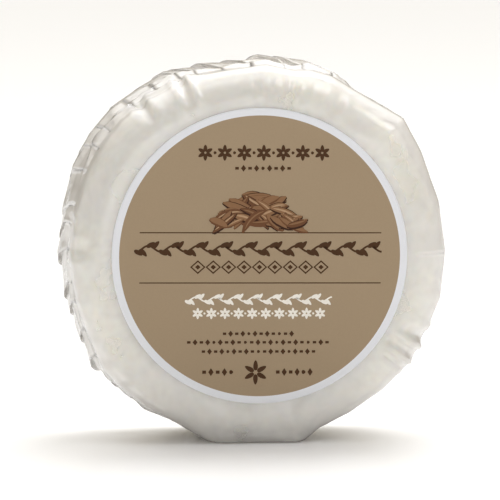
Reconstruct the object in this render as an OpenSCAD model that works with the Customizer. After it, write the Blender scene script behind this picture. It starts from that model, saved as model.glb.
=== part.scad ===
// Shaving soap puck in a pleated clear wrap, standing on its rim.
// X is across the face, the face label looks towards -Y, +Z is up. Millimetres.
// Every piece is drawn about the pack's axis, face upwards, and stand() puts it on its rim.

/* [Soap] */
// Diameter of the pressed tablet
puck_d = 59; // [48:1:80]
// Thickness of the tablet
puck_t = 22; // [16:1:30]
// Rounding of both rims of the tablet
puck_edge_r = 5; // [3:0.5:7]

/* [Wrap] */
// Film drawn flat over the face and its rim
face_film_t = 0.35; // [0.2:0.05:0.6]
// Thickness of the folded film where the side turns to the back
side_film_t = 1.45; // [1:0.05:2.5]
// Thickness of the folded film on the back, between the pleats
back_film_t = 0.6; // [0.3:0.05:1.2]
// Bunched film under the soap, where the pack stands
foot_film_t = 1.15; // [0.6:0.05:2]
// Width of the flat that the pack stands on
foot_w = 12; // [8:1:18]
// Angle either side of the bottom where the film leaves the round side for the foot
foot_flare_a = 30; // [24:1:40]
// Number of pleats round the pack
pleat_count = 44; // [24:4:60]
// Height of the pleats on the side, at the back edge
pleat_step = 0.7; // [0.3:0.1:0.9]
// Height of the pleats' ridges on the back
ridge_h = 0.3; // [0.1:0.05:0.6]
// Share of the pitch that each pleat takes
pleat_share = 0.5; // [0.2:0.1:0.8]
// Opening that the gathered film leaves at the middle of the back
back_open_d = 20; // [8:1:30]

/* [Labels] */
// Paper thickness of both labels
label_t = 0.2; // [0.1:0.05:0.4]
// Bare ring of flat face left round the face label
face_label_inset = 0.5; // [0:0.5:6]
// How far the closing label laps over the gathered film
back_label_lap = 10; // [3:1:11]

/* [Fit] */
// Clearance between the soap and the film
wrap_gap = 0.05; // [0.02:0.01:0.2]

/* [Hidden] */
$fn = 96;

puck_r = puck_d / 2;
half_t = puck_t / 2;

// The film's face side: one tight layer round the rim
face_z = half_t + wrap_gap + face_film_t;
face_side_r = puck_r + wrap_gap + face_film_t;
face_round_r = puck_edge_r + wrap_gap + face_film_t;
face_turn_z = face_z - face_round_r; // where the rounding meets the side

// The film's back side: folded layers, thicker on the side than on the flat
back_z = half_t + wrap_gap + back_film_t;
back_side_r = puck_r + wrap_gap + side_film_t;
back_round_r = puck_edge_r + wrap_gap + back_film_t;

ridge_z = back_z + ridge_h;
pleat_pitch = 360 / pleat_count;
pleat_sunk = 0.1; // how far a pleat's front end lies inside the film

face_label_d = puck_d - 2 * puck_edge_r - 2 * face_label_inset;
back_label_d = back_open_d + 2 * back_label_lap;

// Where the pack's axis and its middle plane lie in the standing frame
axis_h = puck_r + wrap_gap + foot_film_t;
mid_y = ((face_z + label_t) - (ridge_z + label_t)) / 2;
foot_corner_r = norm([foot_w / 2, axis_h]);
foot_round_r = foot_corner_r - (face_side_r - face_round_r); // turns from the same flat as the face

// Turns a piece drawn about the Z axis, face upwards, to stand on its rim, face to -Y
module stand() {
    translate([0, mid_y, axis_h]) rotate([90, 0, 0]) children();
}

// Half profile of a round tablet with rounded rims
module tablet_profile(r, half, edge) {
    translate([0, -half]) square([r - edge, 2 * half]);
    translate([0, edge - half]) square([r, 2 * (half - edge)]);
    for (side = [-1, 1]) translate([r - edge, side * (half - edge)]) circle(r = edge);
}

// Half profile of the film's side and back, from the tight layer at the face to a turned edge
module turned_profile(face_r, back_r, back_depth, back_edge) {
    back_turn_z = back_depth - back_edge;
    polygon([[0, -back_turn_z], [back_r, -back_turn_z], [face_r, face_turn_z], [0, face_turn_z]]);
    translate([0, -back_depth]) square([back_r - back_edge, back_edge]);
    translate([back_r - back_edge, -back_turn_z]) circle(r = back_edge);
}

// Half profile of the film's rounded face
module face_profile() {
    translate([0, face_turn_z]) square([face_side_r - face_round_r, face_round_r]);
    translate([face_side_r - face_round_r, face_turn_z]) circle(r = face_round_r);
}

// One pleat: a narrow sector that stands proud of the film, more and more towards the back
module pleat() {
    pleat_angle = pleat_pitch * pleat_share;
    rotate(-pleat_angle / 2) rotate_extrude(angle = pleat_angle)
        turned_profile(face_side_r - pleat_sunk, back_side_r, ridge_z, back_round_r + ridge_h);
}

// Film that spans from the round side down to the flat foot
module foot_flare() {
    flare_x = puck_r * sin(foot_flare_a);
    flare_y = -puck_r * cos(foot_flare_a);
    intersection() {
        rotate_extrude() tablet_profile(foot_corner_r, face_z, foot_round_r);
        translate([0, 0, -back_z]) linear_extrude(back_z + face_z)
            polygon([[flare_x, flare_y], [-flare_x, flare_y], [-foot_w / 2, -axis_h], [foot_w / 2, -axis_h]]);
    }
}

// Everything below the surface that the pack stands on
module below_foot() {
    deep = puck_r;
    translate([-puck_d, -axis_h - deep, -puck_d]) cube([2 * puck_d, deep, 2 * puck_d]);
}

// Pressed soap tablet
module soap_puck() {
    color("#efe9d8") stand() rotate_extrude() tablet_profile(puck_r, half_t, puck_edge_r);
}

// Clear film drawn over the face, pleated round the side and gathered on the back
module wrapper_film() {
    color("#dcdad4") stand() difference() {
        union() {
            rotate_extrude() {
                face_profile();
                turned_profile(face_side_r, back_side_r - pleat_step, back_z, back_round_r);
            }
            for (i = [0 : pleat_count - 1]) rotate(i * pleat_pitch) pleat();
            foot_flare();
        }
        rotate_extrude() tablet_profile(puck_r + wrap_gap, half_t + wrap_gap, puck_edge_r + wrap_gap);
        translate([0, 0, -puck_t]) cylinder(d = back_open_d, h = puck_t);
        below_foot();
    }
}

// Round paper label on the face
module face_label() {
    color("#a08c70") stand() translate([0, 0, face_z]) cylinder(d = face_label_d, h = label_t);
}

// Round paper label that holds the gathered film shut on the back
module back_label() {
    color("#d6d6da") stand() translate([0, 0, -ridge_z - label_t]) cylinder(d = back_label_d, h = label_t);
}

soap_puck();
wrapper_film();
face_label();
back_label();
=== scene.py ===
import math
import random

import bmesh
import bpy
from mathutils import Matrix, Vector, noise


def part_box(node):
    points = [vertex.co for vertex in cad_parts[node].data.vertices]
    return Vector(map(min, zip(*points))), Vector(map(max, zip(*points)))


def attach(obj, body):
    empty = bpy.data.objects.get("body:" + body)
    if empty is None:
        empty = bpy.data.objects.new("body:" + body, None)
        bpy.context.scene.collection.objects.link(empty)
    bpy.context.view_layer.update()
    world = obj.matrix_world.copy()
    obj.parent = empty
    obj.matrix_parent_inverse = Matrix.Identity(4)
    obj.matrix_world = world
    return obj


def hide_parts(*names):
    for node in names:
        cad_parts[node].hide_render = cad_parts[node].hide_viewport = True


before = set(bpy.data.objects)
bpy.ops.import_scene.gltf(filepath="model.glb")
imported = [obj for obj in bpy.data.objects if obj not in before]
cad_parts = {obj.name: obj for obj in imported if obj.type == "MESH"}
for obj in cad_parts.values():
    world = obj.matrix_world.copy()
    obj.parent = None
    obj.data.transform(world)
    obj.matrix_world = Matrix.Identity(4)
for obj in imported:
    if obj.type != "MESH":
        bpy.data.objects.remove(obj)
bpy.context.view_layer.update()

mm = 0.001
random.seed(11)

# The pack's own measures, in millimetres from its axis and its middle plane
soapLow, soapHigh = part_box("soap_puck")
packCentre = (soapLow + soapHigh) / 2
puckRadius = (soapHigh.x - soapLow.x) / 2 / mm
puckHalf = (soapHigh.y - soapLow.y) / 2 / mm
footDrop = packCentre.z / mm
faceLow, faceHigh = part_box("face_label")
backLow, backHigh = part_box("back_label")
faceLabelRadius = (faceHigh.x - faceLow.x) / 2 / mm
backLabelRadius = (backHigh.x - backLow.x) / 2 / mm


# across and up are seen from the face, out is away from the face; all in millimetres from the axis
def place(across, up, out):
    return packCentre + Vector((across, -out, up)) * mm


def smoothStep(low, high, value):
    share = min(max((value - low) / (high - low), 0.0), 1.0)
    return share * share * (3 - 2 * share)


def blendOf(first, second, share):
    return first + (second - first) * share


def linear(hexColour):
    channels = [int(hexColour[i:i + 2], 16) / 255 for i in (1, 3, 5)]
    return [c / 12.92 if c <= 0.04045 else ((c + 0.055) / 1.055) ** 2.4 for c in channels] + [1.0]


# Adds a node; settings are its own properties or its inputs, links are input: output socket
def addNode(tree, kind, settings=None, links=None):
    node = tree.nodes.new(kind)
    for key, value in (settings or {}).items():
        if isinstance(key, str) and hasattr(node, key):
            setattr(node, key, value)
        else:
            node.inputs[key].default_value = value
    for key, socket in (links or {}).items():
        tree.links.new(socket, node.inputs[key])
    return node


def newMaterial(name):
    material = bpy.data.materials.new(name)
    material.use_nodes = True
    material.node_tree.nodes.clear()
    return material, material.node_tree


# Makes every face of a closed mesh look outwards, after joining points nearer than joinWithin
def turnOutwards(mesh, joinWithin=0.0):
    bm = bmesh.new()
    bm.from_mesh(mesh)
    if joinWithin:
        bmesh.ops.remove_doubles(bm, verts=bm.verts, dist=joinWithin)
        bmesh.ops.dissolve_degenerate(bm, edges=bm.edges, dist=joinWithin / 2)
    bmesh.ops.recalc_face_normals(bm, faces=bm.faces)
    bm.to_mesh(mesh)
    bm.free()


def meshPiece(name, points, faces, materials, smooth=True):
    mesh = bpy.data.meshes.new(name)
    mesh.from_pydata(points, [], faces)
    for material in materials:
        mesh.materials.append(material)
    mesh.polygons.foreach_set("use_smooth", [smooth] * len(mesh.polygons))
    piece = bpy.data.objects.new(name, mesh)
    bpy.context.scene.collection.objects.link(piece)
    return piece


camera = {
    "azimuth": -6.0,  # degrees round from straight on, negative is from the left
    "elevation": 6.2,  # degrees above level
    "distance": 900.0,  # from the label, mm
    "frameWidth": 80.7,  # what the picture spans at the label, mm
    "sensorWidth": 36,  # only sets the lens that goes with the frame width, mm
    "aimAcross": -1.6,  # where the middle of the picture lies from the label's centre
    "aimUp": 1.0,
}


def buildCamera():
    data = bpy.data.cameras.new("camera")
    eye = bpy.data.objects.new("camera", data)
    bpy.context.scene.collection.objects.link(eye)
    bpy.context.scene.camera = eye
    turn = math.radians(camera["azimuth"])
    rise = math.radians(camera["elevation"])
    towards = Vector((math.sin(turn) * math.cos(rise), -math.cos(turn) * math.cos(rise), math.sin(rise)))
    side = Vector((math.cos(turn), math.sin(turn), 0))
    over = towards.cross(side)
    labelFront = (packCentre.y - faceLow.y) / mm
    target = place(0, 0, labelFront) + (side * camera["aimAcross"] + over * camera["aimUp"]) * mm
    eye.location = target + towards * camera["distance"] * mm
    eye.rotation_euler = (-towards).to_track_quat("-Z", "Y").to_euler()
    data.sensor_width = camera["sensorWidth"]
    data.lens = camera["sensorWidth"] * camera["distance"] / camera["frameWidth"]
    data.clip_start = 0.01
    data.clip_end = 20
    print("camera: lens", round(data.lens), "mm")


lights = {
    # Places and sizes in metres, power in watts
    "lamps": {
        "softbox": {"place": (0.17, 0.27, 0.64), "size": 0.35, "power": 1.9},
        "fill": {"place": (-0.15, -0.9, 0.1), "size": 0.5, "power": 0.95},
        "key": {"place": (0.38, -0.3, 0.75), "size": 0.35, "power": 1.0},
    },
    "ceiling": 2.25,  # brightness of the white ceiling above and behind
    "room": 0.37,  # and of the dimmer room round it
    "roomColours": ("#FFFCF8", "#FFF3DA"),  # in front, and behind by the warmer wall
    "ceilingTowards": (0.05, 0.47, 0.88),
    "ceilingEdge": (0.58, 0.9),  # cosines where the ceiling's light begins and is full
    "wallTurn": 0.6,  # the same where the wall behind has its full colour
}


def buildLights():
    for name, lamp in lights["lamps"].items():
        data = bpy.data.lights.new(name, "AREA")
        data.size = lamp["size"]
        data.energy = lamp["power"]
        shown = bpy.data.objects.new(name, data)
        shown.location = lamp["place"]
        aim = Vector((0, 0, footDrop * mm)) - shown.location
        shown.rotation_euler = aim.to_track_quat("-Z", "Y").to_euler()
        bpy.context.scene.collection.objects.link(shown)

    world = bpy.data.worlds.new("studio")
    world.use_nodes = True
    bpy.context.scene.world = world
    tree = world.node_tree
    where = addNode(tree, "ShaderNodeTexCoord")
    towards = where.outputs["Generated"]
    upness = addNode(tree, "ShaderNodeVectorMath", {
        "operation": "DOT_PRODUCT", 1: lights["ceilingTowards"]}, {0: towards})
    depth = addNode(tree, "ShaderNodeVectorMath", {"operation": "DOT_PRODUCT", 1: (0, 1, 0)}, {0: towards})
    start, full = lights["ceilingEdge"]
    glow = addNode(tree, "ShaderNodeMapRange", {
        "interpolation_type": "SMOOTHSTEP", "From Min": start, "From Max": full,
        "To Min": lights["room"], "To Max": lights["ceiling"]}, {"Value": upness.outputs["Value"]})
    share = addNode(tree, "ShaderNodeMapRange", {
        "interpolation_type": "SMOOTHSTEP", "From Min": start, "From Max": full},
        {"Value": upness.outputs["Value"]})
    behind = addNode(tree, "ShaderNodeMapRange", {
        "From Min": 0.0, "From Max": lights["wallTurn"]}, {"Value": depth.outputs["Value"]})
    frontColour, wallColour = lights["roomColours"]
    wall = addNode(tree, "ShaderNodeMix", {
        "data_type": "RGBA", 6: linear(frontColour), 7: linear(wallColour)}, {0: behind.outputs[0]})
    colour = addNode(tree, "ShaderNodeMix", {"data_type": "RGBA", 7: linear("#FFFFFF")},
                     {0: share.outputs[0], 6: wall.outputs[2]})
    tree.links.new(glow.outputs[0], tree.nodes["Background"].inputs["Strength"])
    tree.links.new(colour.outputs[2], tree.nodes["Background"].inputs["Color"])
    print("light:", len(lights["lamps"]), "lamps under a white ceiling")


floorLook = {
    "size": 6.0,  # metres
    "colour": "#FCFCFC",
    "roughness": 0.3,
}


def buildFloor():
    # Pressed white laminate: an even white with a soft, slightly blurred reflection
    material, tree = newMaterial("white laminate table")
    surface = addNode(tree, "ShaderNodeBsdfPrincipled", {
        "Base Color": linear(floorLook["colour"]), "Roughness": floorLook["roughness"],
        "Specular IOR Level": 0.3})
    addNode(tree, "ShaderNodeOutputMaterial", links={"Surface": surface.outputs[0]})
    half = floorLook["size"] / 2
    corners = [(-half, -half, 0), (half, -half, 0), (half, half, 0), (-half, half, 0)]
    floor = meshPiece("floor", corners, [(0, 1, 2, 3)], [material], smooth=False)
    print("floor: laminate", floorLook["size"], "m across")


soap = {
    "edgeRadius": 5.0,  # rounding of the pressed tablet's rims, mm
    "colour": "#FFFAF1",
    "patchColour": "#FCF4E8",
    "patchSize": 9.0,  # mm across, from uneven milling
    "grainSize": 0.4,
    "grainDepth": 0.02,
    "roughness": 0.5,
    "soakDepth": 3.0,  # how far light travels inside the soap, mm
    "soakColours": (1.0, 0.85, 0.65),  # and how much of that for red, green and blue
}


def soapMaterial():
    # Milled tallow soap, pressed: ivory, waxy and slightly see-through, so light soaks into the rims
    material, tree = newMaterial("milled ivory soap")
    where = addNode(tree, "ShaderNodeTexCoord")
    patches = addNode(tree, "ShaderNodeTexNoise", {
        "Scale": 1 / (soap["patchSize"] * mm), "Detail": 3.0}, {"Vector": where.outputs["Object"]})
    grain = addNode(tree, "ShaderNodeTexNoise", {
        "Scale": 1 / (soap["grainSize"] * mm), "Detail": 2.0}, {"Vector": where.outputs["Object"]})
    tone = addNode(tree, "ShaderNodeValToRGB", links={"Fac": patches.outputs["Fac"]})
    tone.color_ramp.elements[0].position = 0.35
    tone.color_ramp.elements[0].color = linear(soap["patchColour"])
    tone.color_ramp.elements[1].position = 0.65
    tone.color_ramp.elements[1].color = linear(soap["colour"])
    relief = addNode(tree, "ShaderNodeBump", {
        "Strength": 0.25, "Distance": soap["grainDepth"] * mm},
                     {"Height": grain.outputs["Fac"]})
    surface = addNode(tree, "ShaderNodeBsdfPrincipled", {
        "Roughness": soap["roughness"], "IOR": 1.45, "Subsurface Weight": 1.0,
        "Subsurface Scale": soap["soakDepth"] * mm, "Subsurface Radius": soap["soakColours"]},
        {"Base Color": tone.outputs["Color"], "Normal": relief.outputs["Normal"]})
    addNode(tree, "ShaderNodeOutputMaterial", links={"Surface": surface.outputs[0]})
    return material


def buildSoap():
    node = bpy.data.objects["soap_puck"]
    material = soapMaterial()
    for slot in node.material_slots:
        slot.material = material
    if not node.material_slots:
        node.data.materials.append(material)
    print("soap: pressed tablet", round(2 * puckRadius, 2), "mm across")


film = {
    "pleats": 44,
    "thickness": 0.03,  # mm
    "faceGap": 0.35,  # air between soap and film on the flat face, mm
    "sideGap": 0.32,  # the same round the rim
    "openRadius": 10.0,  # opening that the gathered film leaves on the back
    "topSteps": 7,  # mesh steps across the outer layer of a pleat
    "underSteps": 3,  # and across the layer that it folds over
    "rowsUnderLabel": [8.0, 16.0, 21.0, 23.0],  # mesh rows on the face, mm from its middle
    "rowSteps": (22, 20, 14, 16),  # mesh rows on the face's rim, the side, the back rim and the back
    "jitter": 0.22,  # how unevenly the pleats are spaced, as a share of the pitch
    "pleatStarts": (-1.5, 6),  # where pleats begin, mm past the end of the face's rim
    "pleatHeights": (0.65, 1.35),  # shares of the height below
    "pleatShares": (0.8, 1.15),  # shares of the spare film that a pleat takes up
    "crestPower": 1.3,  # how late the outer layer climbs to its fold
    "sidePleat": 0.55,  # how far a pleat's fold stands out on the side, mm
    "backPleat": 0.5,  # and on the back
    "wander": 1.6,  # degrees that a fold strays sideways on its way over the side
    "swirl": 26.0,  # degrees that the pleats turn by, from the rim to the middle of the back
    # Corners that the taut film spans between: degrees round from the viewer's right,
    # how far it stands off the tight wrap at the face's edge, and at the back edge, mm
    "corners": [
        (0, 1.1, 1.2), (15, 1.1, 1.2), (31, 1.7, 1.0), (42, 2.6, 1.7), (61, 1.0, 1.1),
        (67, 1.3, 1.6), (73, 1.0, 1.6), (77.5, 0.4, 1.1), (82, 0.5, 1.1), (87, 0.8, 0.8),
        (97, 0.2, 0.4), (111, 0.7, 1.2), (116, 0.4, 1.9), (125, 0.5, 1.8), (135, 0.8, 2.3),
        (145, 0.6, 2.2), (155, 0.5, 2.0), (168, 0.5, 1.4), (181, 0.6, 1.3), (195, 0.5, 1.1),
        (207, 0.6, 1.3), (217, 1.4, 2.1), (224, 1.2, 1.8), (234, 1.0, 1.3), (244, 0.8, 1.1),
        (289.5, 0.75, 0.6), (300, 0.6, 0.7), (312, 0.8, 0.8), (324, 1.3, 1.2), (334, 1.0, 1.0),
        (346, 1.2, 1.2),
    ],
    # How strongly the pleats stand out round the rim: degrees and share
    "pleatiness": [
        (0, 0.5), (20, 0.2), (58, 0.2), (68, 1.1), (98, 0.8), (112, 0.15), (154, 0.2), (166, 0.8),
        (195, 1.2), (240, 0.8), (270, 0.5), (310, 0.6), (360, 0.5),
    ],
    # Long folds that run along the rim: degrees at both ends, distances along the film, height, width
    "rimFolds": [
        (106, 152, 33.2, 37.0, 0.7, 1.0), (112, 158, 38.5, 35.5, 0.55, 0.8),
        (120, 165, 40.5, 42.0, 0.6, 1.2), (98, 128, 36.0, 41.0, 0.5, 0.9),
        (186, 222, 35.5, 38.0, 0.45, 0.9), (28, 56, 34.5, 37.5, 0.3, 1.1),
        (76, 100, 34.0, 37.0, 0.6, 1.2), (58, 80, 38.0, 35.0, 0.7, 1.0),
        (330, 358, 35.0, 37.0, 0.4, 1.0), (214, 244, 37.0, 34.5, 0.5, 0.9),
        (60, 118, 30.6, 30.2, 0.18, 1.0), (150, 205, 31.0, 30.6, 0.16, 1.1),
    ],
    "foot": (-6.1, 6.3),  # where the flat that the pack stands on begins and ends, mm from the middle
    "footToe": 1.3,  # how much further the film reaches towards the face there
    "floorGap": 0.04,  # kept between the film and the floor, mm
    "faceRipple": 0.06,  # height of the soft unevenness all over, mm
    "fineRipple": 0.03,  # of the fine ribs that run out from the face
    "sideCrumple": 0.35,  # and of the crumpling on the side
    "deepestDent": 0.1,  # how far the film may sink towards the soap
    "pressedFace": 0.02,  # how far it may stand up under the face label
    "pressedBack": 0.5,  # and under the back label
    "unpressed": 5.0,  # and anywhere else
    "creaseScale": 1.6,  # deepens all the creases below
    # Folds pressed into the face: degrees, distances along the film from the middle, depth, width
    "creases": [
        (327, 24.5, 33, 0.5, 1.3), (322, 25, 33, 0.35, 1.0), (333, 26, 34, 0.6, 1.6),
        (114, 26, 36, 0.5, 1.2), (128, 27, 37, 0.4, 1.5), (91, 25, 31, 0.14, 0.8),
        (86, 25, 31, 0.12, 0.7), (82, 25, 31, 0.16, 0.8), (78, 25, 30, 0.12, 0.7),
        (74, 25, 31, 0.14, 0.8), (63, 25, 31, 0.2, 1.4), (178, 27, 33, 0.25, 2.0),
    ],
}
flatRadius = puckRadius - soap["edgeRadius"]
wrapRadius = puckRadius + film["sideGap"]
arcLength = math.pi / 2 * (soap["edgeRadius"] + film["sideGap"])
sideLength = 2 * (puckHalf - soap["edgeRadius"])
sideStart = flatRadius + arcLength
backStart = sideStart + sideLength
backFlatStart = backStart + arcLength
filmRadius = backFlatStart + flatRadius - film["openRadius"]


# A point of the tight wrap at a distance along the film from the face's middle:
# its radius, how far out it lies, and its outward direction
def tightWrap(along):
    edge = soap["edgeRadius"]
    acrossRound, outRound = edge + film["sideGap"], edge + film["faceGap"]
    straight = puckHalf - edge
    if along <= flatRadius:
        return along, straight + outRound, 0.0, 1.0
    if along <= sideStart:
        turn = (along - flatRadius) / arcLength * math.pi / 2
        return (flatRadius + acrossRound * math.sin(turn), straight + outRound * math.cos(turn),
                math.sin(turn), math.cos(turn))
    if along <= backStart:
        return wrapRadius, straight - (along - sideStart), 1.0, 0.0
    if along <= backFlatStart:
        turn = (along - backStart) / arcLength * math.pi / 2
        return (flatRadius + acrossRound * math.cos(turn), -straight - outRound * math.sin(turn),
                math.cos(turn), -math.sin(turn))
    return flatRadius - (along - backFlatStart), -straight - outRound, 0.0, -1.0


# The corners in order round the pack, with the foot's two and the first one again at the end
def filmCorners():
    footDepth = footDrop - film["floorGap"]
    corners = list(film["corners"])
    for across in film["foot"]:
        footRise = math.hypot(across, footDepth) - wrapRadius
        footAngle = 270 + math.degrees(math.atan2(across, footDepth))
        corners.append((footAngle, footRise + film["footToe"], footRise))
    corners.sort()
    return corners + [(corners[0][0] + 360, *corners[0][1:])]


# How far the film stands off the tight wrap where it spans straight between its corners
def spanRise(corners, degrees, which):
    degrees %= 360
    for first, second in zip(corners, corners[1:]):
        if first[0] <= degrees <= second[0]:
            a, b = math.radians(first[0]), math.radians(second[0])
            t = math.radians(degrees)
            ra, rb = wrapRadius + first[which], wrapRadius + second[which]
            chord = ra * rb * math.sin(b - a) / (ra * math.sin(t - a) + rb * math.sin(b - t))
            return max(chord - wrapRadius, 0.0)
    return 0.0


# The value between given stops
def between(stops, value):
    for (a, first), (b, second) in zip(stops, stops[1:]):
        if a <= value <= b:
            return blendOf(first, second, (value - a) / (b - a))
    return stops[-1][1]


# How deep a point lies in the creases; each has a low ridge on either side
def creaseDepth(degrees, along):
    depth = 0.0
    for at, start, end, deep, wide in film["creases"]:
        turned = abs((degrees - at + 180) % 360 - 180)
        away = math.radians(turned) * max(along * 0.9, 1)
        if away < 2 * wide and start < along < end:
            ends = smoothStep(start, start + 2, along) * (1 - smoothStep(end - 3, end, along))
            valley = math.exp(-3 * (away / wide) ** 2)
            ridge = 0.45 * math.exp(-5 * ((away - wide) / wide) ** 2)
            depth += deep * ends * (valley - ridge)
    return depth


# How high a point lies on the folds that run along the rim
def rimFold(degrees, along):
    rise = 0.0
    for start, end, first, last, height, width in film["rimFolds"]:
        if start < degrees % 360 < end:
            share = (degrees % 360 - start) / (end - start)
            away = abs(along - blendOf(first, last, share)) / width
            if away < 1:
                rise += height * (1 - away) * min(1, 5 * share, 5 * (1 - share))
    return rise


# Smooth unevenness between -1 and 1, with lumps about as wide as the cell
def crumple(degrees, radius, along, cell, seed):
    t = math.radians(degrees)
    spot = Vector((radius * math.cos(t), radius * math.sin(t), along)) / cell + Vector((seed, 0, 0))
    return noise.noise(spot)


# Distances along the film where its mesh has a row, few of them under the face label
def filmRows():
    rows = list(film["rowsUnderLabel"])
    turns = [flatRadius, sideStart, backStart, backFlatStart, filmRadius]
    for start, end, steps in zip(turns, turns[1:], film["rowSteps"]):
        rows += [blendOf(start, end, i / steps) for i in range(steps)]
    return rows + [filmRadius]


# Where each pleat begins, how tall it is and its share of the film to be folded away
def drawPleats():
    earliest, latest = film["pleatStarts"]
    pleats = []
    for i in range(film["pleats"]):
        pleats.append({
            "at": 360 * (i + random.uniform(-1, 1) * film["jitter"]) / film["pleats"],
            "start": random.uniform(sideStart + earliest, sideStart + latest),
            "height": random.uniform(*film["pleatHeights"]),
            "share": random.uniform(*film["pleatShares"]),
        })
    return pleats


# Degrees from the middle where a pleat's fold runs, before the swirl
def foldAt(pleats, index, along):
    count = film["pleats"]
    drift = noise.noise(Vector((index % count * 3.1, along / 9, 4)))
    wander = film["wander"] * drift * smoothStep(sideStart, backStart, along)
    return pleats[index % count]["at"] + 360 * (index // count) + wander


# Degrees that a pleat laps over the next one: it takes up film that the round pack has no room for
def lapOf(pleat, along, radius):
    surplus = math.pi * (along - radius) / film["pleats"]
    grown = smoothStep(pleat["start"], pleat["start"] + 6, along)
    sideShare = min(between(film["pleatiness"], pleat["at"] % 360), 1)
    grown *= blendOf(sideShare, 1, smoothStep(backStart - 1, backFlatStart, along))
    return math.degrees(surplus * pleat["share"] * grown / max(radius, 1))


# How far a pleat's fold stands out
def pleatHeight(pleat, degrees, along):
    overBack = smoothStep(backStart, backFlatStart, along)
    full = blendOf(film["sidePleat"], film["backPleat"], overBack)
    full *= smoothStep(sideStart, backStart - 2, along)
    return full * pleat["height"] * blendOf(between(film["pleatiness"], degrees % 360), 1, overBack)


# How far the film stands off the tight wrap, but for its pleats
def filmRise(corners, degrees, radius, along):
    spread = smoothStep(flatRadius - 1.5, sideStart - 0.5, along)
    spread *= 1 - 0.8 * smoothStep(backStart + 1, backFlatStart + 1, along)
    atFace, atBack = spanRise(corners, degrees, 1), spanRise(corners, degrees, 2)
    rise = spread * blendOf(atFace, atBack, smoothStep(sideStart - 3, backStart, along))
    free = smoothStep(flatRadius - 1, flatRadius + 3, along)
    rise += film["fineRipple"] * free * crumple(degrees * 2.2, 18, along * 0.2, 1.6, 3)
    rise += film["faceRipple"] * free * crumple(degrees, radius, along * 0.6, 5.0, 9)
    onSide = smoothStep(sideStart - 2, sideStart + 5, along)
    onSide *= 1 - smoothStep(backStart, backFlatStart, along)
    rough = film["sideCrumple"] * onSide * between(film["pleatiness"], degrees % 360)
    rise += rough * crumple(degrees, radius, along * 0.7, 3.0, 21)
    return rise + rimFold(degrees, along) - film["creaseScale"] * creaseDepth(degrees, along)


# Both labels press the film flat beneath them: how far it may stand up here
def roomFor(along, radius):
    if along < sideStart:
        freed = smoothStep(faceLabelRadius + 0.1, faceLabelRadius + 3, radius)
        return blendOf(film["pressedFace"], film["unpressed"], freed)
    freed = smoothStep(backLabelRadius + 0.3, backLabelRadius + 4, radius)
    return blendOf(film["pressedBack"], film["unpressed"], freed)


# One row of the film's mesh; a pleat is an outer layer that climbs to its fold, and one that runs back under
def filmRow(pleats, corners, along):
    radius, out, outwardAcross, outwardOut = tightWrap(along)
    swirl = film["swirl"] * smoothStep(sideStart, filmRadius, along) ** 1.5
    room = roomFor(along, radius)
    topSteps, underSteps = film["topSteps"], film["underSteps"]
    points = []
    for i, pleat in enumerate(pleats):
        begin, finish = foldAt(pleats, i, along), foldAt(pleats, i + 1, along)
        crest = finish + lapOf(pleat, along, radius)
        height = pleatHeight(pleat, begin, along)
        path = [(blendOf(begin, crest, k / topSteps), (k / topSteps) ** film["crestPower"])
                for k in range(topSteps)]
        path += [(blendOf(crest, finish, k / underSteps), 1 - k / underSteps) for k in range(underSteps)]
        for bare, lift in path:
            degrees = bare + swirl
            rise = height * lift + filmRise(corners, degrees, radius, along)
            rise = min(max(rise, -film["deepestDent"]), room)
            t = math.radians(degrees)
            reach = radius + rise * outwardAcross
            up = max(reach * math.sin(t), film["floorGap"] - footDrop)
            points.append(place(reach * math.cos(t), up, out + rise * outwardOut))
    return points


def buildFilm(material):
    corners = filmCorners()
    pleats = drawPleats()
    rows = filmRows()
    columns = film["pleats"] * (film["topSteps"] + film["underSteps"])
    points, faces = [], []
    for along in rows:
        points += filmRow(pleats, corners, along)
    for row in range(len(rows) - 1):
        for column in range(columns):
            a = row * columns + column
            b = row * columns + (column + 1) % columns
            faces.append((a, b, b + columns, a + columns))
    middle = len(points)
    points.append(place(0, 0, tightWrap(0)[1]))
    faces += [(middle, (column + 1) % columns, column) for column in range(columns)]
    sheet = meshPiece("pleated_film", points, faces, [material])
    turnOutwards(sheet.data, joinWithin=0.004 * mm)
    solid = sheet.modifiers.new("thickness", "SOLIDIFY")
    solid.thickness = film["thickness"] * mm
    solid.offset = 0
    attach(sheet, "root")
    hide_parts("wrapper_film")
    print("film:", len(sheet.data.polygons), "faces, cut", round(2 * filmRadius, 1), "mm across")


filmLook = {
    "tint": "#FDFDFD",
    "haze": (0.24, 0.46),  # least and most share of the light that the cloudy film scatters
    "edgeHaze": 0.8,  # the same at a grazing look, through more film
    "cloudSize": 9.0,  # mm across a cloudy or a clear patch
    "hazeColour": "#FDFBF8",
    "edgeShadeColour": "#868585",  # painted shade: the haze's grey at a grazing look, which darkens the film's rim band
    "roughness": 0.16,
    "mirrored": (0.05, 0.7),  # share reflected, looked at straight on and at a grazing look
    "powers": (4.0, 2.5),  # how late the shine and the haze grow towards a grazing look
    "through": 0.25,  # share of the scattered light that passes on through the film
    "lumpSize": 4.0,  # mm across the faint lumps in its surface
    "lumpDepth": 0.2,
}


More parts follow.
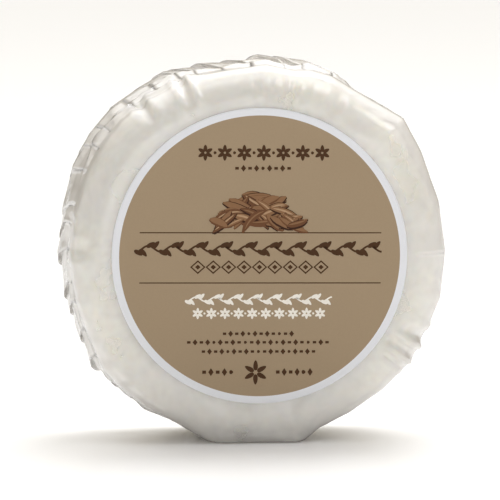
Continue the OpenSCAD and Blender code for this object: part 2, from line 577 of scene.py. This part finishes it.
def filmMaterial():
    # Cast polypropylene film, 0.03 mm: clear with a faint cloud, and glossy, so folds catch the light
    material, tree = newMaterial("cast polypropylene film")
    where = addNode(tree, "ShaderNodeTexCoord")
    lumps = addNode(tree, "ShaderNodeTexNoise", {"Scale": 1 / (filmLook["lumpSize"] * mm), "Detail": 3.0},
                    {"Vector": where.outputs["Object"]})
    patches = addNode(tree, "ShaderNodeTexNoise", {
        "Scale": 1 / (filmLook["cloudSize"] * mm), "Detail": 3.0, "Distortion": 0.2},
        {"Vector": where.outputs["Object"]})
    relief = addNode(tree, "ShaderNodeBump", {
        "Strength": 0.2, "Distance": filmLook["lumpDepth"] * mm},
                     {"Height": lumps.outputs["Fac"]})
    facing = addNode(tree, "ShaderNodeLayerWeight", {"Blend": 0.5}, {"Normal": relief.outputs["Normal"]})
    steep, grazing = [addNode(tree, "ShaderNodeMath", {"operation": "POWER", 1: power},
                              {0: facing.outputs["Facing"]}) for power in filmLook["powers"]]
    straightOn, atGrazing = filmLook["mirrored"]
    mirrored = addNode(tree, "ShaderNodeMapRange", {"To Min": straightOn, "To Max": atGrazing},
                       {"Value": steep.outputs[0]})
    least, most = filmLook["haze"]
    cloudy = addNode(tree, "ShaderNodeMapRange", {
        "From Min": 0.35, "From Max": 0.65, "To Min": least, "To Max": most},
        {"Value": patches.outputs["Fac"]})
    hazeShare = addNode(tree, "ShaderNodeMix", {"data_type": "FLOAT", 3: filmLook["edgeHaze"]},
                        {0: grazing.outputs[0], 2: cloudy.outputs[0]})
    clear = addNode(tree, "ShaderNodeBsdfTransparent", {"Color": linear(filmLook["tint"])})
    # The haze greys towards a grazing look: painted shade on the film's rim band
    hazeToneWithEdgeShade = addNode(tree, "ShaderNodeMix", {
        "data_type": "RGBA", 6: linear(filmLook["hazeColour"]), 7: linear(filmLook["edgeShadeColour"])},
        {0: grazing.outputs[0]})
    cloud = addNode(tree, "ShaderNodeBsdfDiffuse", links={
        "Color": hazeToneWithEdgeShade.outputs[2], "Normal": relief.outputs["Normal"]})
    through = addNode(tree, "ShaderNodeBsdfTranslucent", {"Color": linear(filmLook["hazeColour"])},
                      {"Normal": relief.outputs["Normal"]})
    milk = addNode(tree, "ShaderNodeMixShader", {0: filmLook["through"]}, {
        1: cloud.outputs[0], 2: through.outputs[0]})
    body = addNode(tree, "ShaderNodeMixShader", links={
        0: hazeShare.outputs[0], 1: clear.outputs[0], 2: milk.outputs[0]})
    gloss = addNode(tree, "ShaderNodeBsdfGlossy", {
        "Color": linear("#FFFFFF"), "Roughness": filmLook["roughness"]}, {"Normal": relief.outputs["Normal"]})
    surface = addNode(tree, "ShaderNodeMixShader", links={
        0: mirrored.outputs[0], 1: body.outputs[0], 2: gloss.outputs[0]})
    addNode(tree, "ShaderNodeOutputMaterial", links={"Surface": surface.outputs[0]})
    return material


faceLabel = {
    "fieldRadius": 22.8,  # printed field, inside the bare margin, mm
    "fieldColour": "#A28D71",
    "marginColour": "#E6E7EB",
    "steps": 192,
    "edgeDip": 0.06,  # how far the label's edge follows the film back, mm
    "edgeRoll": 0.05,  # how far its cut rim rolls back
}
backLabel = {
    "colour": "#E6E4DE",
    "steps": 352,
    "ripple": 0.07,  # how far the paper sinks between the pleats, mm
}


paperLook = {
    "fibreSize": 0.35,  # mm
    "fibreDepth": 0.01,
    "roughness": 0.55,
}


def paperMaterial(name, colour, mottle):
    # Machine-coated paper: even colour with a satin shine and barely visible fibres
    material, tree = newMaterial(name)
    where = addNode(tree, "ShaderNodeTexCoord")
    fibres = addNode(tree, "ShaderNodeTexNoise", {
        "Scale": 1 / (paperLook["fibreSize"] * mm), "Detail": 4.0}, {"Vector": where.outputs["Object"]})
    tone = addNode(tree, "ShaderNodeMapRange", {"To Min": 1 - mottle, "To Max": 1 + mottle},
                   {"Value": fibres.outputs["Fac"]})
    base = addNode(tree, "ShaderNodeVectorMath", {"operation": "SCALE", 0: linear(colour)[:3]},
                   {"Scale": tone.outputs[0]})
    relief = addNode(tree, "ShaderNodeBump", {
        "Strength": 0.15, "Distance": paperLook["fibreDepth"] * mm}, {"Height": fibres.outputs["Fac"]})
    surface = addNode(tree, "ShaderNodeBsdfPrincipled", {
        "Roughness": paperLook["roughness"], "IOR": 1.5, "Specular IOR Level": 0.3},
        {"Base Color": base.outputs[0], "Normal": relief.outputs["Normal"]})
    addNode(tree, "ShaderNodeOutputMaterial", links={"Surface": surface.outputs[0]})
    return material


# A round label as a closed sheet: lift bends it, and materialAt says which material a ring has by its radius
def labelDisc(name, rings, inner, outer, lift, materials, materialAt, steps):
    points, faces, kinds = [], [], []
    levels = [(r, outer) for r in rings] + [(r, inner) for r in reversed(rings)]
    for r, out in levels:
        for k in range(steps):
            t = 2 * math.pi * k / steps
            points.append(place(r * math.cos(t), r * math.sin(t), out + lift(r, t)))
    for level in range(len(levels) - 1):
        ring = (levels[level][0] + levels[level + 1][0]) / 2
        kind = materialAt(ring) if level < len(rings) - 1 else 1
        for k in range(steps):
            a, b = level * steps + k, level * steps + (k + 1) % steps
            faces.append((a, b, b + steps, a + steps))
            kinds.append(kind)
    for first, out, kind in ((0, outer, 0), ((len(levels) - 1) * steps, inner, 1)):
        middle = len(points)
        points.append(place(0, 0, out + lift(0, 0)))
        faces += [(middle, first + k, first + (k + 1) % steps) for k in range(steps)]
        kinds += [kind] * steps
    disc = meshPiece(name, points, faces, materials)
    disc.data.polygons.foreach_set("material_index", kinds)
    turnOutwards(disc.data)
    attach(disc, "root")
    return disc


def buildFaceLabel():
    radius = faceLabelRadius
    outer, inner = (packCentre.y - faceLow.y) / mm, (packCentre.y - faceHigh.y) / mm
    field = faceLabel["fieldRadius"]
    rings = [6, 12, 18, field - 0.3, field, field + 0.5, radius - 0.35, radius - 0.12, radius - 0.03, radius]

    def lift(r, t):
        dip = faceLabel["edgeDip"] * smoothStep(field, radius, r) * (0.7 + 0.5 * math.sin(3 * t + 1))
        return -dip - faceLabel["edgeRoll"] * smoothStep(radius - 0.15, radius, r)

    materials = [paperMaterial("printed coated paper", faceLabel["fieldColour"], 0.05),
                 paperMaterial("bare coated paper", faceLabel["marginColour"], 0.02)]
    disc = labelDisc("face_paper_label", rings, inner, outer, lift, materials,
                     lambda r: 0 if r < field else 1, faceLabel["steps"])
    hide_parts("face_label")
    print("face label:", round(2 * radius, 1), "mm across")
    return outer


def buildBackLabel():
    radius = backLabelRadius
    outer, inner = (packCentre.y - backHigh.y) / mm, (packCentre.y - backLow.y) / mm
    rings = [4, 8, 10.5, 12, 14, 16, 18, 19, radius - 0.3, radius - 0.08, radius]

    def lift(r, t):
        return backLabel["ripple"] * smoothStep(10, 17, r) * (0.5 + 0.5 * math.sin(film["pleats"] * t))

    paper = paperMaterial("uncoated paper", backLabel["colour"], 0.03)
    disc = labelDisc("back_paper_label", rings, inner, outer, lift, [paper, paper],
                     lambda r: 0, backLabel["steps"])
    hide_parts("back_label")
    print("back label:", round(2 * radius, 1), "mm across")


# The print is laid out in millimetres from the face label's centre
ink = {
    "thickness": 0.012,  # mm, coarser than real ink so that it stays clear of the paper
    "stagger": 0.0004,  # by which neighbouring prints differ in height
    "sunk": 0.02,  # how far its underside lies inside the paper
    "dark": "#4A311D",
    "white": "#F2ECE2",
    "unevenness": 0.08,  # share by which its tone changes
    "patchSize": 0.6,  # from one patch to the next, mm
    "roughness": 0.5,
    "tilt": -0.65,  # degrees that the label is turned by
}


def inkMaterial(name, colour):
    # Offset ink on coated paper: flat colour, a little darker where the paper drinks it
    material, tree = newMaterial(name)
    where = addNode(tree, "ShaderNodeTexCoord")
    uneven = addNode(tree, "ShaderNodeTexNoise", {
        "Scale": 1 / (ink["patchSize"] * mm), "Detail": 2.0}, {"Vector": where.outputs["Object"]})
    tone = addNode(tree, "ShaderNodeMapRange", {
        "To Min": 1 - ink["unevenness"], "To Max": 1 + ink["unevenness"]}, {"Value": uneven.outputs["Fac"]})
    base = addNode(tree, "ShaderNodeVectorMath", {"operation": "SCALE", 0: linear(colour)[:3]},
                   {"Scale": tone.outputs[0]})
    surface = addNode(tree, "ShaderNodeBsdfPrincipled", {
        "Roughness": ink["roughness"], "IOR": 1.5, "Specular IOR Level": 0.12},
        {"Base Color": base.outputs[0]})
    addNode(tree, "ShaderNodeOutputMaterial", links={"Surface": surface.outputs[0]})
    return material


# Everything that is printed in one ink
class Print:
    def __init__(self, name, material):
        self.name, self.material, self.count = name, material, 0
        self.points, self.faces = [], []

    def add(self, outline, out):
        turn = math.radians(ink["tilt"])
        for x, y in outline:
            self.points.append(place(x * math.cos(turn) - y * math.sin(turn),
                                     x * math.sin(turn) + y * math.cos(turn), out))

    # A filled outline as a thin closed slab; each stands a hair off the last, so that no two tops coincide
    def slab(self, outline, rise=None):
        n, first = len(outline), len(self.points)
        if rise is None:
            rise = ink["stagger"] * (self.count % 8)
        top = labelFace + ink["thickness"] + rise
        self.count += 1
        self.add(outline, top)
        self.add(outline, labelFace - ink["sunk"])
        self.faces.append(tuple(range(first, first + n)))
        self.faces.append(tuple(range(first + 2 * n - 1, first + n - 1, -1)))
        for k in range(n):
            m = (k + 1) % n
            self.faces.append((first + k, first + n + k, first + n + m, first + m))

    # A line of even width along a path
    def line(self, path, width, closed=False):
        n = len(path)
        rims = [[], []]
        for k in range(n):
            before = path[(k - 1) % n] if closed or k > 0 else path[k]
            after = path[(k + 1) % n] if closed or k < n - 1 else path[k]
            run = Vector((after[0] - before[0], after[1] - before[1])).normalized()
            for rim, side in zip(rims, (0.5, -0.5)):
                rim.append((path[k][0] - run.y * width * side, path[k][1] + run.x * width * side))
        if closed:
            for k in range(n):
                m = (k + 1) % n
                self.slab([rims[1][k], rims[1][m], rims[0][m], rims[0][k]])
        else:
            self.slab(rims[1] + rims[0][::-1])

    def build(self):
        piece = meshPiece(self.name, self.points, self.faces, [self.material], smooth=False)
        turnOutwards(piece.data)
        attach(piece, "root")


# A pointed oval, fuller near its stem
def leaf(x, y, length, width, degrees):
    t = math.radians(degrees)
    outline = []
    for k in range(12):
        a = 2 * math.pi * k / 12
        along = length / 2 * math.cos(a)
        across = width / 2 * math.sin(a) * (1 - 0.25 * math.cos(a))
        outline.append((x + along * math.cos(t) - across * math.sin(t),
                        y + along * math.sin(t) + across * math.cos(t)))
    return outline


def lozenge(x, y, width, height):
    return [(x + width / 2, y), (x, y + height / 2), (x - width / 2, y), (x, y - height / 2)]


def bar(x0, y0, x1, y1):
    return [(x0, y0), (x1, y0), (x1, y1), (x0, y1)]


def spaced(start, end, count):
    pitch = (end - start) / count
    return [(start + (i + 0.5) * pitch, pitch) for i in range(count)]


# A winding stem with a leaf on the outside of every bend
def vineRow(sheet, start, end, low, high, count, stroke):
    middle, tall = (low + high) / 2, high - low
    stem = []
    stemSteps = count * 8
    for k in range(stemSteps + 1):
        bend = tall * 0.2 * math.cos(math.pi * k / 8)
        stem.append((start + (end - start) * k / stemSteps, middle - bend))
    sheet.line(stem, stroke)
    for i, (x, pitch) in enumerate(spaced(start, end, count)):
        side = 1 if i % 2 else -1
        for step, lean in ((-0.3, 30), (0.12, 48)):
            sheet.slab(leaf(x + pitch * step, middle + side * tall * 0.27,
                            tall * 0.66, tall * 0.3, side * lean))


# A chain of lozenge outlines, with a small solid one in each
def chainRow(sheet, start, end, low, high, count, stroke):
    middle, tall = (low + high) / 2, high - low
    for x, pitch in spaced(start, end, count):
        sheet.line(lozenge(x, middle, pitch - stroke, tall - stroke), stroke, closed=True)
        sheet.slab(lozenge(x, middle, pitch * 0.36, tall * 0.36))


# A row of six-leaved flowers with dots between
def flowerRow(sheet, start, end, low, high, count):
    middle, tall = (low + high) / 2, high - low
    for x, pitch in spaced(start, end, count):
        for k in range(6):
            t = math.radians(30 + 60 * k)
            sheet.slab(leaf(x + 0.29 * tall * math.cos(t), middle + 0.29 * tall * math.sin(t),
                            tall * 0.46, tall * 0.25, 30 + 60 * k))
        if x + pitch < end:
            sheet.slab(leaf(x + pitch / 2, middle, tall * 0.2, tall * 0.2, 0))


# A row of small dashes, lozenges and dots
def dashRow(sheet, start, end, low, high, count):
    middle, tall = (low + high) / 2, high - low
    for i, (x, pitch) in enumerate(spaced(start, end, count)):
        if i % 5 == 4:
            sheet.slab(leaf(x, middle, tall * 0.5, tall * 0.5, 0))
        elif i % 2:
            sheet.slab(lozenge(x, middle, pitch * 0.8, tall))
        else:
            sheet.slab(bar(x - pitch * 0.28, low + tall * 0.3, x + pitch * 0.28, high - tall * 0.3))


heap = {
    "low": 4.6, "high": 11.8, "left": -8.2, "right": 7.6,  # where the drawn heap of shavings lies
    "shavings": 64,
    "tones": ["#3A2418", "#6B4830", "#8A6648", "#B0906F"],
    "lengths": (2.8, 5.8),
    "widths": (0.6, 1.35),
    "bends": (-0.3, 0.5),  # sag of a shaving's curl, as a share of its length
    "slant": 42,  # degrees either way
    "layer": 0.0012,  # how much higher each shaving lies than the last, mm
}


# A curled sliver of wood with narrowed ends
def shaving(x, y, length, width, degrees, bend):
    t = math.radians(degrees)
    rims = [[], []]
    for k in range(7):
        share = k / 6 - 0.5
        along, sag = share * length, bend * (0.25 - share * share) * length
        half = width / 2 * (1 - (2 * abs(share)) ** 3 * 0.75)
        for rim, side in zip(rims, (1, -1)):
            across = sag + side * half
            rim.append((x + along * math.cos(t) - across * math.sin(t),
                        y + along * math.sin(t) + across * math.cos(t)))
    return rims[1] + rims[0][::-1]


# Each shaving is a dark shape, a paler one within it and a bright grain line, laid from the back forwards
def buildHeap():
    tones = []
    for i, colour in enumerate(heap["tones"]):
        tones.append(Print("heap_tone_%d" % i, inkMaterial("brown offset ink %d" % i, colour)))
    centre, halfWide = (heap["left"] + heap["right"]) / 2, (heap["right"] - heap["left"]) / 2
    tall = heap["high"] - heap["low"]
    spots = []
    for i in range(heap["shavings"]):
        across = random.uniform(-1, 1)
        ceiling = (1 - abs(across) ** 1.7) * (0.85 + 0.15 * math.sin(across * 7))
        spots.append((across, ceiling * (1 - random.random() ** 1.3)))
    spots.sort(key=lambda spot: -spot[1])
    for i, (across, up) in enumerate(spots):
        length = random.uniform(*heap["lengths"])
        width = random.uniform(*heap["widths"])
        x = centre + across * (halfWide - length * 0.42)
        y = heap["low"] + width * 0.6 + up * (tall - 1.6)
        degrees = random.uniform(-heap["slant"], heap["slant"]) - across * 18
        bend = random.uniform(*heap["bends"])
        rise = i * heap["layer"]
        layers = [
            ((0, 0, 1), y - 0.12, length * 1.04, width * 1.15),
            ((1, 2, 2), y, length, width * 0.8),
            ((2, 3), y + width * 0.12, length * 0.8, width * 0.25),
        ]
        for k, (choices, middle, long, wide) in enumerate(layers):
            outline = shaving(x, middle, long, wide, degrees, bend)
            tones[random.choice(choices)].slab(outline, rise + k * heap["layer"] / 3)
    for tone in tones:
        tone.build()


# Every row says where it starts and ends, its low and high edge, how many repeats, and its stroke
def buildPrint():
    dark = Print("dark_print", inkMaterial("dark brown offset ink", ink["dark"]))
    white = Print("white_print", inkMaterial("opaque white ink", ink["white"]))
    flowerRow(dark, -10.6, 11.5, 15.5, 18.0, 7)
    dashRow(dark, -4.4, 5.1, 13.7, 14.8, 9)
    for ruleLow in (3.72, -4.43):
        dark.slab(bar(-19.5, ruleLow, 19.7, ruleLow + 0.17))
    vineRow(dark, -20.1, 19.8, 0.0, 2.4, 20, 0.32)
    chainRow(dark, -11.3, 11.2, -2.9, -0.65, 9, 0.3)
    vineRow(white, -11.9, 11.8, -7.9, -6.1, 15, 0.24)
    flowerRow(white, -11.1, 11.0, -10.2, -8.4, 10)
    dashRow(dark, -6.1, 5.8, -13.1, -12.1, 12)
    dashRow(dark, -11.9, 11.6, -14.5, -13.5, 23)
    dashRow(dark, -9.5, 9.4, -16.0, -15.0, 19)
    dashRow(dark, -9.4, -3.9, -19.5, -18.2, 5)
    dashRow(dark, 2.6, 8.9, -19.5, -18.2, 6)
    for k in range(6):
        t = math.radians(60 * k + 30)
        dark.slab(leaf(-0.5 + 1.15 * math.cos(t), -18.9 + 1.15 * math.sin(t), 1.7, 0.75, 60 * k + 30))
    dark.build()
    white.build()
    buildHeap()
    print("print: ornaments and a heap of shavings")


buildCamera()
buildLights()
buildFloor()
buildSoap()
buildFilm(filmMaterial())
labelFace = buildFaceLabel()
buildBackLabel()
buildPrint()

scene = bpy.context.scene
scene.view_settings.view_transform = "Standard"
scene.cycles.transparent_max_bounces = 48  # light passes many layers of film on its way to the soap
scene.cycles.max_bounces = 10
